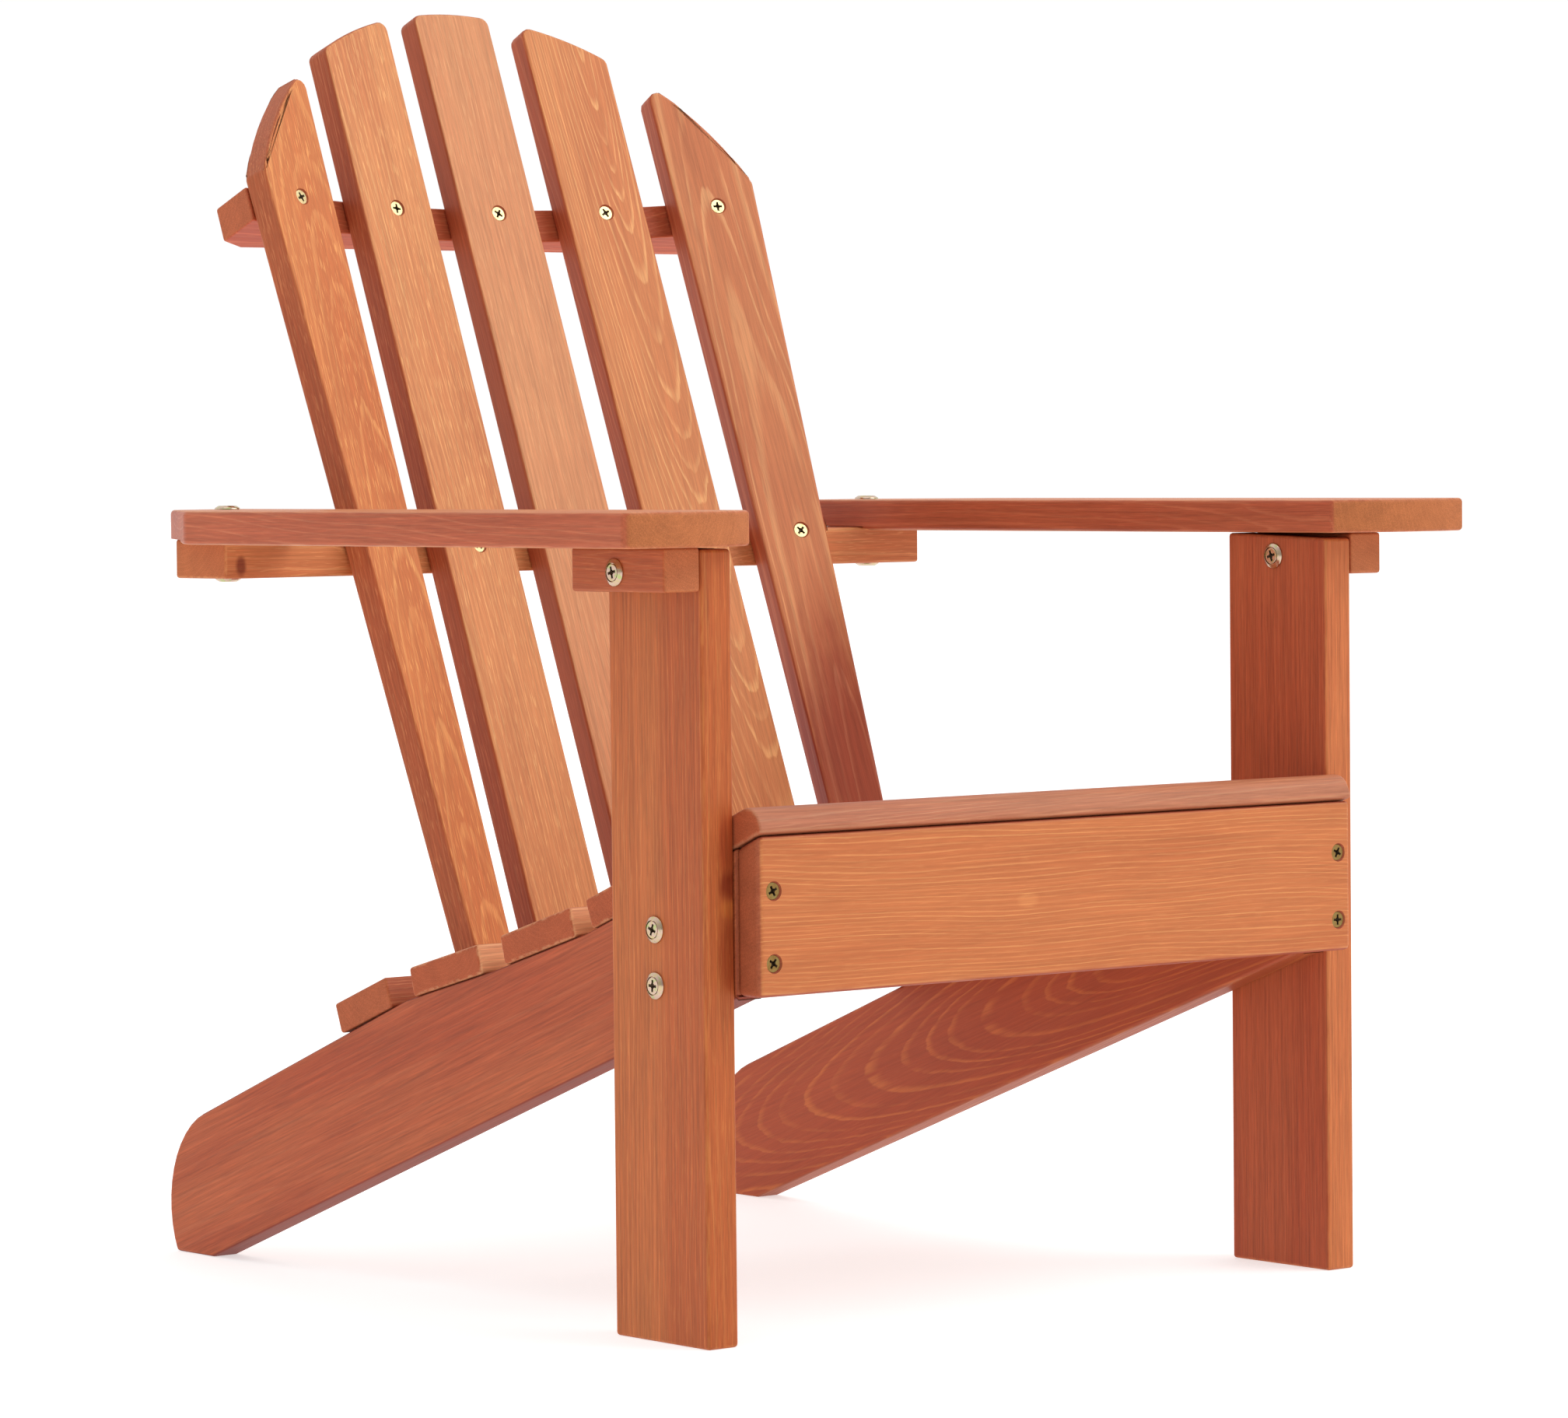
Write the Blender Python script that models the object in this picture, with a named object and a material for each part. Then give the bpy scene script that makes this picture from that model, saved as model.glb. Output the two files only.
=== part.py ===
"""Child-size Adirondack chair: boards, rails, screws and bolts, each as its own closed solid.

Units are millimetres in the constants and metres in the scene.  The chair faces -Y, +Z is up,
and "right" and "left" are the sitter's own sides: right is -X, left is +X.
Depths in the constants are measured rearwards from the front plane of the front legs.
"""
from math import asin, atan2, cos, pi, radians, sin, sqrt, tan

import bmesh
import bpy
from mathutils import Vector

MM = 0.001
GAP = 0.3                  # clearance kept between pieces that touch

# Front legs
LEG_SPAN = 416.0           # outer face to outer face
LEG_THICK = 18.0
LEG_DEPTH = 70.0
ARM_UNDER = 370.0          # height of the armrests' underside
LEG_TOP_SLOPE = {"right": 1.0, "left": 2.5}   # how far the sawn top falls towards the front

# Side rails, which run from the apron down to the floor behind
RAIL_THICK = 17.0
RAIL_SLOPE = radians(20.4)
RAIL_NOSE_UNDER = 161.7    # height of the underside at the leg front
RAIL_LIP = 2.0             # how far the level nose is sawn past the sloping underside
TAIL_CENTRE = (427.0, 25.0)
TAIL_RADII = (46.0, 51.5)
TAIL_STEPS = 12
SEAT_LINE = [(51.0, 209.6), (115.0, 184.9), (189.0, 162.8), (261.0, 144.0)]
SEAT_LINE_FRONT_SLOPE = 0.4137

# Seat
SEAT_THICK = 14.8
SEAT_SLAT_WIDTH = 59.0
SEAT_SLAT_FRONTS = (197.0, 122.0, 54.0)       # depth of each slat's lower front edge, rear slat first
NOSE_FRONT = -19.0
NOSE_WIDTH = 62.0
NOSE_RADIUS = 9.0

# Apron
APRON_THICK = 16.5
APRON_REAR = -1.0
APRON_UNDER = 162.5
APRON_SCREW_X = 181.0
APRON_SCREW_HEIGHTS = {"upper": 211.5, "lower": 178.0}

# Back: five slats on a shallow hollow cylinder that leans back
RECLINE = radians(21.3)
BACK_FOOT = 219.0          # where the slats' front plane would meet the floor
BACK_RADIUS = 600.0
SLAT_THICK = 15.0
SLAT_PITCH = 69.1
SLAT_WIDTH = 49.4
SLAT_FOOT = 146.0          # along the slat
ARCH_CENTRE = 520.3
ARCH_RADIUS = 177.0
OUTER_INNER_EDGE = 113.6
OUTER_EDGE_TOP = 161.3
OUTER_EDGE_TOP_AT = 594.0
OUTER_EDGE_TAPER = 0.0456
OUTER_SLAT_X = 137.5
SLAT_TOP_STEPS = 8
SLAT_CORNER = 5.0
SLAT_CORNER_STEPS = 4

# Rails behind the slats, hollowed to follow them
HOLLOW_RADIUS = BACK_RADIUS + SLAT_THICK + 3 * GAP
HOLLOW_HALF = 163.0
HOLLOW_FRONT = -80.0
HOLLOW_SPAN = (100.0, 440.0)                  # along the slat
HOLLOW_STEPS = 20
TOP_RAIL_SPAN = (571.5, 590.0)                # along the slat
TOP_RAIL_HALF = 165.0
TOP_RAIL_REAR = 30.3
TOP_RAIL_CLIP = (15.0, 7.7)
ARM_RAIL_HALF = 228.4
ARM_RAIL_FRONT = 356.2
ARM_RAIL_REAR = 401.0
ARM_RAIL_HEIGHTS = (352.0, 372.0)
LOWER_RAIL_FRONT = 272.5
LOWER_RAIL_WIDTH = 46.5
LOWER_RAIL_THICK = 15.5

# Armrests
ARM_THICK = 16.5
ARM_INNER = 186.0
ARM_OUTER = 268.0
ARM_FRONT_INNER = -9.0
ARM_FRONT_OUTER = -21.0
ARM_FRONT_BULGE = 9.0
ARM_CLIP_START = 334.0
ARM_END = 405.0
ARM_BOW_STEPS = 12
ARM_INNER_CORNER = 3.5
ARM_OUTER_CORNER = 5.0
ARM_CLIP_CORNER = 12.0
ARM_HOUSING_FRONT = 353.5
ARM_HOUSING_RAMP = 5.0     # the housing's front end slopes out over this depth

# Arm brackets
BRACKET_WIDTH = 21.0
BRACKET_HEIGHT = 20.5

# Fasteners
SCREW_HEAD_RADIUS = 4.0
SCREW_SHANK_RADIUS = 1.9
SCREW_SINK = 0.25
HEAD_RIM = 0.4
HEAD_DEPTH = 2.3
TIP_LENGTH = 4.0
TIP_RADIUS = 0.5
COUNTERSINK_ABOVE = 1.5    # a screw's hole reaches out past the face
HOLE_SPARE = 0.7           # and a little deeper than the screw
SCREW_SIDES = 10
SLAT_SCREW_ROWS = {"top": (581.0, 26.0), "mid": (392.0, 28.0), "low": (157.4, 28.0)}
SEAT_SCREW_LENGTH = 26.0
APRON_SCREW_LENGTH = 30.0
ARM_SCREW_LENGTH = 32.0
SLAT_SCREW_PLACE = 0.5     # across a seat slat
NOSE_SCREW_PLACE = 0.8     # across the nosing slat, well behind the apron's screws
LOWER_RAIL_SCREW_PLACE = 0.62
FOOT_SCREW_SHIFT = 9.0     # the outer slats' lowest screws move inwards
BOLT_SIDES = 12
BOLT_SHANK_RADIUS = 2.9
WASHER_RADIUS = 6.6
WASHER_RISE = 1.5
WASHER_RIM = 0.5
WASHER_LIP = 0.6
BOLT_HEAD_RADIUS = 4.3
BOLT_HEAD_CROWN = 3.1
BOLT_HEAD_RISE = 2.6
BOLT_HOLE_ABOVE = 1.0
LEG_BOLT_DEPTH = 36.8
LEG_BOLT_HEIGHTS = {"upper": 192.4, "lower": 166.3}
BRACKET_BOLT_HEIGHT = 358.3
ARM_BOLT_X = 211.0
ARM_BOLT_DEPTH = 379.5
ARM_SCREW_DEPTH = 15.0

SIDES = {"right": -1, "left": 1}
LEG_OUTER = LEG_SPAN / 2
LEG_INNER = LEG_OUTER - LEG_THICK
INNER_HALF = LEG_INNER - GAP                  # half-length of the boards between the legs
RAIL_INNER = INNER_HALF - RAIL_THICK
RAIL_MIDDLE = INNER_HALF - RAIL_THICK / 2
BRACKET_OUTER = LEG_OUTER + GAP + BRACKET_WIDTH

# ---------------------------------------------------------------- scene and materials

def clear_scene():
    for item in list(bpy.data.objects):
        bpy.data.objects.remove(item, do_unlink=True)


def material(name, colour, roughness, metallic=0.0):
    made = bpy.data.materials.new(name)
    made.use_nodes = True
    shader = made.node_tree.nodes["Principled BSDF"]
    shader.inputs["Base Color"].default_value = (*colour, 1.0)
    shader.inputs["Roughness"].default_value = roughness
    shader.inputs["Metallic"].default_value = metallic
    return made


def frame_empty(name, location, rotation=(0.0, 0.0, 0.0), parent=None):
    empty = bpy.data.objects.new(name, None)
    empty.location = Vector(location) * MM
    empty.rotation_euler = rotation
    empty.parent = parent
    bpy.context.collection.objects.link(empty)
    return empty


def place(name, mesh, parent, finish, location=(0.0, 0.0, 0.0), rotation=(0.0, 0.0, 0.0)):
    piece = bpy.data.objects.new(name, mesh)
    piece.location = Vector(location) * MM
    piece.rotation_euler = rotation
    piece.parent = parent
    if finish is not None:
        mesh.materials.append(finish)
    bpy.context.collection.objects.link(piece)
    return piece


# ---------------------------------------------------------------- shapes

def extruded(name, outline, lift):
    """A board from a closed outline of 3-D points, pushed along the vector lift."""
    work = bmesh.new()
    base = work.faces.new([work.verts.new(Vector(point) * MM) for point in outline])
    pushed = bmesh.ops.extrude_face_region(work, geom=[base])
    moved = [item for item in pushed["geom"] if isinstance(item, bmesh.types.BMVert)]
    bmesh.ops.translate(work, verts=moved, vec=Vector(lift) * MM)
    bmesh.ops.recalc_face_normals(work, faces=work.faces)
    mesh = bpy.data.meshes.new(name)
    work.to_mesh(mesh)
    work.free()
    return mesh


def side_profile(name, outline, x_low, x_high):
    """A board across the chair, from an outline of (depth, height) points."""
    return extruded(name, [(x_low, y, z) for y, z in outline], (x_high - x_low, 0, 0))


def turned(name, profile, sides):
    """A solid of revolution about Z from (radius, height) points, top to bottom."""
    work = bmesh.new()
    rings = []
    for radius, height in profile:
        if radius == 0:
            rings.append([work.verts.new((0, 0, height * MM))])
            continue
        turn = [2 * pi * step / sides for step in range(sides)]
        rings.append([work.verts.new((radius * MM * cos(a), radius * MM * sin(a), height * MM)) for a in turn])
    for upper, lower in zip(rings, rings[1:]):
        for step in range(sides):
            nxt = (step + 1) % sides
            if len(upper) == 1:
                work.faces.new((upper[0], lower[step], lower[nxt]))
            elif len(lower) == 1:
                work.faces.new((upper[step], lower[0], upper[nxt]))
            else:
                work.faces.new((upper[step], lower[step], lower[nxt], upper[nxt]))
    bmesh.ops.recalc_face_normals(work, faces=work.faces)
    mesh = bpy.data.meshes.new(name)
    work.to_mesh(mesh)
    work.free()
    mesh.shade_smooth()
    mesh.set_sharp_from_angle(angle=radians(35))
    return mesh


def arc(centre, radii, start, end, steps):
    """Points along an elliptical arc, angles in radians."""
    turns = [start + (end - start) * step / steps for step in range(steps + 1)]
    return [(centre[0] + radii[0] * cos(a), centre[1] + radii[1] * sin(a)) for a in turns]


def rounded_corner(before, corner, after, radius, steps):
    """An outline's corner replaced by a tangent arc."""
    here, back, ahead = Vector(corner), Vector(before), Vector(after)
    into, out = (back - here).normalized(), (ahead - here).normalized()
    half = into.angle(out) / 2
    reach = radius / tan(half)
    centre = here + (into + out).normalized() * radius / sin(half)
    first, last = here + into * reach - centre, here + out * reach - centre
    start = atan2(first.y, first.x)
    sweep = (atan2(last.y, last.x) - start + pi) % (2 * pi) - pi
    return arc(centre, (radius, radius), start, start + sweep, steps)


def cut(piece, cutter):
    """Takes the cutter's shape out of a piece."""
    saw = piece.modifiers.new(cutter.name, "BOOLEAN")
    saw.operation = "DIFFERENCE"
    saw.solver = "EXACT"
    saw.object = cutter


def as_cutter(thing):
    thing.hide_render = True
    thing.display_type = "WIRE"
    return thing


# ---------------------------------------------------------------- lines that pieces share

def sag(x, radius=BACK_RADIUS):
    """How far a concave surface has come forward at a distance x from the middle."""
    return radius - sqrt(radius * radius - x * x)


def rail_under(depth):
    return RAIL_NOSE_UNDER - tan(RAIL_SLOPE) * depth


def seat_line(depth):
    """Height of the side rail's upper edge, which carries the seat."""
    first = SEAT_LINE[0]
    if depth <= first[0]:
        return first[1] + SEAT_LINE_FRONT_SLOPE * (first[0] - depth)
    for (y0, z0), (y1, z1) in zip(SEAT_LINE, SEAT_LINE[1:]):
        if depth <= y1:
            return z0 + (z1 - z0) * (depth - y0) / (y1 - y0)
    last = SEAT_LINE[-1]
    return last[1] - tan(RAIL_SLOPE) * (depth - last[0])


def arch(x):
    """Distance along the back at which the arched top lies."""
    return ARCH_CENTRE + sqrt(ARCH_RADIUS ** 2 - x ** 2)


def arm_bow():
    """Centre and radius of the armrests' bowed front, with the left arm's signs."""
    inner = Vector((ARM_INNER, ARM_FRONT_INNER))
    outer = Vector((ARM_OUTER, ARM_FRONT_OUTER))
    chord = outer - inner
    radius = (chord.length ** 2 / 4 + ARM_FRONT_BULGE ** 2) / (2 * ARM_FRONT_BULGE)
    away = Vector((-chord.y, chord.x)).normalized()
    return (inner + outer) / 2 + away * (radius - ARM_FRONT_BULGE), radius


def middle_depth():
    """Half-way between the front of the armrests and the rear of the middle slat's top."""
    centre, radius = arm_bow()
    rear = BACK_FOOT + SLAT_THICK * cos(RECLINE) + arch(0) * sin(RECLINE)
    return (centre.y - radius + rear) / 2


# ---------------------------------------------------------------- wooden pieces

def front_leg(side, chair, wood):
    drop = LEG_TOP_SLOPE[side]
    top = ARM_UNDER - GAP
    outline = [(0, 0), (LEG_DEPTH, 0), (LEG_DEPTH, top), (0, top - drop)]
    low = LEG_INNER if side == "left" else -LEG_OUTER
    return place(f"{side}_front_leg", side_profile("leg", outline, low, low + LEG_THICK), chair, wood)


def side_rail(side, chair, wood):
    tail_y, tail_z = TAIL_CENTRE
    reach_y, reach_z = TAIL_RADII
    # The tail's curve leaves the floor and ends where it is parallel to the upper edge.
    floor_turn = -asin(tail_z / reach_z)
    top_turn = atan2(reach_z, reach_y * tan(RAIL_SLOPE))
    tail = arc(TAIL_CENTRE, TAIL_RADII, floor_turn, top_turn, TAIL_STEPS)
    toe = (RAIL_NOSE_UNDER / tan(RAIL_SLOPE), 0.0)
    front = APRON_REAR + GAP
    lip_height = APRON_UNDER - GAP
    lip_start = (RAIL_NOSE_UNDER - lip_height) / tan(RAIL_SLOPE)
    step = lip_start + RAIL_LIP
    under = [(step, lip_height), (step, rail_under(step)), toe]
    seat = [(y, z) for y, z in reversed(SEAT_LINE)]
    outline = under + tail + seat + [(front, seat_line(front)), (front, lip_height)]
    low = RAIL_INNER if side == "left" else -INNER_HALF
    return place(f"{side}_side_rail", side_profile("side_rail", outline, low, low + RAIL_THICK), chair, wood)


def seat_slat(name, front, width, chair, wood, nose=False):
    """A slat lying on the side rails; front is the depth of its lower front edge."""
    run = front + width * 0.9              # where the slat's rear edge meets the seat line
    slope = atan2(seat_line(front) - seat_line(run), run - front)
    along = Vector((cos(slope), -sin(slope)))
    up = Vector((sin(slope), cos(slope)))
    start = Vector((front, seat_line(front))) + up * GAP
    corners = [start, start + along * width, start + along * width + up * SEAT_THICK, start + up * SEAT_THICK]
    outline = [tuple(corner) for corner in corners]
    if nose:
        outline[3:] = rounded_corner(outline[2], outline[3], outline[0], NOSE_RADIUS, 6)
    board = place(name, side_profile("seat_slat", outline, -INNER_HALF, INNER_HALF), chair, wood)
    screw_place = NOSE_SCREW_PLACE if nose else SLAT_SCREW_PLACE
    screw_line = start + along * width * screw_place + up * SEAT_THICK
    return board, screw_line, slope


def apron(chair, wood):
    front = APRON_REAR - APRON_THICK
    outline = [(APRON_REAR, APRON_UNDER), (APRON_REAR, seat_line(APRON_REAR) - GAP),
               (front, seat_line(front) - GAP), (front, APRON_UNDER)]
    return place("front_apron", side_profile("apron", outline, -INNER_HALF, INNER_HALF), chair, wood)


def arm_bracket(side, chair, wood):
    top = ARM_UNDER - GAP
    outline = [(0, top - BRACKET_HEIGHT), (LEG_DEPTH, top - BRACKET_HEIGHT), (LEG_DEPTH, top), (0, top)]
    low = BRACKET_OUTER - BRACKET_WIDTH if side == "left" else -BRACKET_OUTER
    mesh = side_profile("arm_bracket", outline, low, low + BRACKET_WIDTH)
    return place(f"{side}_arm_bracket", mesh, chair, wood)


def armrest(side, chair, wood):
    """A flat arm with a bowed front, a long clip outside its rear end and a housing for the rail."""
    centre, radius = arm_bow()
    start = atan2(ARM_FRONT_INNER - centre.y, ARM_INNER - centre.x)
    end = atan2(ARM_FRONT_OUTER - centre.y, ARM_OUTER - centre.x)
    bow = arc(centre, (radius, radius), start, end, ARM_BOW_STEPS)
    clip = (ARM_OUTER, ARM_CLIP_START)
    tail = (ARM_RAIL_HALF, ARM_END)
    heel = (ARM_INNER, ARM_END)
    outline = (rounded_corner(heel, bow[0], bow[1], ARM_INNER_CORNER, 3) + bow[2:-2]
               + rounded_corner(bow[-2], bow[-1], clip, ARM_OUTER_CORNER, 4)
               + rounded_corner(bow[-1], clip, tail, ARM_CLIP_CORNER, 3) + [tail, heel])
    way = SIDES[side]
    mesh = extruded("armrest", [(way * x, y, ARM_UNDER) for x, y in outline], (0, 0, ARM_THICK))
    arm = place(f"{side}_armrest", mesh, chair, wood)
    spare = 5.0                            # the cutter stands this far outside the arm
    below, roof = ARM_UNDER - spare, ARM_RAIL_HEIGHTS[1]
    ramp_foot = ARM_HOUSING_FRONT - ARM_HOUSING_RAMP
    ramp = [(ramp_foot, below), (ARM_END + spare, below), (ARM_END + spare, roof), (ARM_HOUSING_FRONT, roof),
            (ramp_foot, ARM_UNDER)]
    low, high = sorted((way * (ARM_INNER - spare), way * (ARM_OUTER + spare)))
    housing = place(f"cutter_housing_{side}", side_profile("housing", ramp, low, high), chair, None)
    cut(arm, as_cutter(housing))
    return arm


def back_slat(number, back, wood):
    """One slat, drawn in its own plane: x across, z along, front face at y = 0."""
    place_in_row = number - 3
    way = 1 if place_in_row >= 0 else -1
    outer = abs(place_in_row) == 2
    centre = way * OUTER_SLAT_X if outer else place_in_row * SLAT_PITCH
    turn = -asin(centre / BACK_RADIUS)
    flat = cos(turn)
    if outer:
        inner_x = (way * OUTER_INNER_EDGE - centre) / flat
        top_x = (way * OUTER_EDGE_TOP - centre) / flat
        foot_x = (way * (OUTER_EDGE_TOP - OUTER_EDGE_TAPER * (OUTER_EDGE_TOP_AT - SLAT_FOOT)) - centre) / flat
        across = (inner_x, top_x)
        foot = ((inner_x, SLAT_FOOT), (foot_x, SLAT_FOOT))
    else:
        half = SLAT_WIDTH / 2
        across = (-half, half)
        foot = ((-half, SLAT_FOOT), (half, SLAT_FOOT))
    top = []
    for step in range(SLAT_TOP_STEPS + 1):
        x = across[1] + (across[0] - across[1]) * step / SLAT_TOP_STEPS
        top.append((x, arch(centre + x * flat)))
    top[0:1] = rounded_corner(foot[1], top[0], top[1], SLAT_CORNER, SLAT_CORNER_STEPS)
    top[-1:] = rounded_corner(top[-2], top[-1], foot[0], SLAT_CORNER, SLAT_CORNER_STEPS)
    outline = [(x, 0, z) for x, z in [*foot, *top]]
    mesh = extruded("back_slat", outline, (0, SLAT_THICK, 0))
    slat = place(f"back_slat_{number}", mesh, back, wood, (centre, -sag(centre), 0), (0, 0, turn))
    return slat, centre, turn


def hollow_curve(half):
    """The curve behind the slats, from +half to -half across the back, as (x, rearwards) points."""
    reach = asin(half / HOLLOW_RADIUS)
    centre, radii = (0, -BACK_RADIUS), (HOLLOW_RADIUS, HOLLOW_RADIUS)
    return arc(centre, radii, pi / 2 - reach, pi / 2 + reach, HOLLOW_STEPS)


def back_clearance(back):
    """The space that the slats fill, as a cutter that hollows the rails behind them."""
    outline = [*hollow_curve(HOLLOW_HALF), (-HOLLOW_HALF, HOLLOW_FRONT), (HOLLOW_HALF, HOLLOW_FRONT)]
    low, high = HOLLOW_SPAN
    mesh = extruded("clearance", [(x, n, low) for x, n in outline], (0, 0, high - low))
    return as_cutter(place("cutter_back", mesh, back, None))


def top_back_rail(back, wood):
    clip_x, clip_n = TOP_RAIL_CLIP
    half, rear = TOP_RAIL_HALF, TOP_RAIL_REAR
    behind = [(-half, rear - clip_n), (clip_x - half, rear), (half - clip_x, rear), (half, rear - clip_n)]
    low, high = TOP_RAIL_SPAN
    outline = hollow_curve(half) + behind
    mesh = extruded("top_back_rail", [(x, n, low) for x, n in outline], (0, 0, high - low))
    return place("top_back_rail", mesh, back, wood)


def arm_cross_rail(chair, wood, clearance):
    low, high = ARM_RAIL_HEIGHTS
    top = high - GAP
    outline = [(ARM_RAIL_FRONT, low), (ARM_RAIL_REAR, low), (ARM_RAIL_REAR, top), (ARM_RAIL_FRONT, top)]
    mesh = side_profile("arm_cross_rail", outline, -ARM_RAIL_HALF, ARM_RAIL_HALF)
    rail = place("arm_cross_rail", mesh, chair, wood)
    cut(rail, clearance)
    return rail


def lower_back_rail(chair, wood, clearance):
    along = Vector((cos(RAIL_SLOPE), -sin(RAIL_SLOPE)))
    up = Vector((sin(RAIL_SLOPE), cos(RAIL_SLOPE)))
    start = Vector((LOWER_RAIL_FRONT, seat_line(LOWER_RAIL_FRONT))) + up * GAP
    outline = [start, start + along * LOWER_RAIL_WIDTH,
               start + along * LOWER_RAIL_WIDTH + up * LOWER_RAIL_THICK, start + up * LOWER_RAIL_THICK]
    mesh = side_profile("lower_back_rail", [tuple(point) for point in outline], -INNER_HALF, INNER_HALF)
    rail = place("lower_back_rail", mesh, chair, wood)
    cut(rail, clearance)
    screw_line = start + along * LOWER_RAIL_WIDTH * LOWER_RAIL_SCREW_PLACE + up * LOWER_RAIL_THICK
    return rail, screw_line


# ---------------------------------------------------------------- fasteners

def screw_profile(length, spare=0.0):
    """A countersunk wood screw, head up; spare widens it into its own hole."""
    head = SCREW_HEAD_RADIUS + spare
    shank = SCREW_SHANK_RADIUS + spare
    if spare:
        bottom = -length - HOLE_SPARE
        return [(0, COUNTERSINK_ABOVE), (head, COUNTERSINK_ABOVE), (head, -HEAD_RIM - spare),
                (shank, -HEAD_DEPTH - spare), (shank, bottom), (0, bottom)]
    return [(0, 0), (head, 0), (head, -HEAD_RIM), (shank, -HEAD_DEPTH), (shank, TIP_LENGTH - length),
            (TIP_RADIUS, -length), (0, -length)]


def bolt_profile(grip, spare=0.0):
    """A through bolt with its cup washers and cap nut, one head at each end of the grip."""
    shank = BOLT_SHANK_RADIUS + spare
    if spare:
        top, bottom = BOLT_HOLE_ABOVE, -grip - BOLT_HOLE_ABOVE
        return [(0, top), (shank, top), (shank, bottom), (0, bottom)]
    head = [(0, BOLT_HEAD_RISE), (BOLT_HEAD_CROWN, BOLT_HEAD_RISE), (BOLT_HEAD_RADIUS, WASHER_RISE),
            (WASHER_RADIUS - WASHER_LIP, WASHER_RISE), (WASHER_RADIUS, WASHER_RIM), (WASHER_RADIUS, GAP),
            (shank, GAP)]
    return head + [(radius, -grip - height) for radius, height in reversed(head)]


def fasten(name, mesh, hole, parent, location, turn, boards, finish):
    """Puts a fastener in place and drills the boards that it passes through."""
    place(name, mesh, parent, finish, location, turn)
    drill = as_cutter(place(f"cutter_{name}", hole, parent, None, location, turn))
    for board in boards:
        cut(board, drill)


def sunk(point, outward):
    """The head's centre, a little below the face that it is driven into."""
    return Vector(point) - Vector(outward) * SCREW_SINK


def facing(outward):
    """The rotation that turns +Z to the given direction."""
    return Vector(outward).to_track_quat("Z", "Y").to_euler()


def screw(name, point, outward, length, boards, parent, finish, meshes):
    """A wood screw driven against the direction outward, sharing one mesh for each length."""
    if length not in meshes:
        meshes[length] = (turned(f"screw_{length:.0f}", screw_profile(length), SCREW_SIDES),
                          turned(f"screw_hole_{length:.0f}", screw_profile(length, GAP), SCREW_SIDES))
    mesh, hole = meshes[length]
    fasten(name, mesh, hole, parent, sunk(point, outward), facing(outward), boards, finish)


def bolt(name, point, outward, grip, boards, chair, finish):
    mesh = turned("bolt", bolt_profile(grip), BOLT_SIDES)
    hole = turned("bolt_hole", bolt_profile(grip, GAP), BOLT_SIDES)
    fasten(name, mesh, hole, chair, Vector(point), facing(outward), boards, finish)


# ---------------------------------------------------------------- the chair

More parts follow.
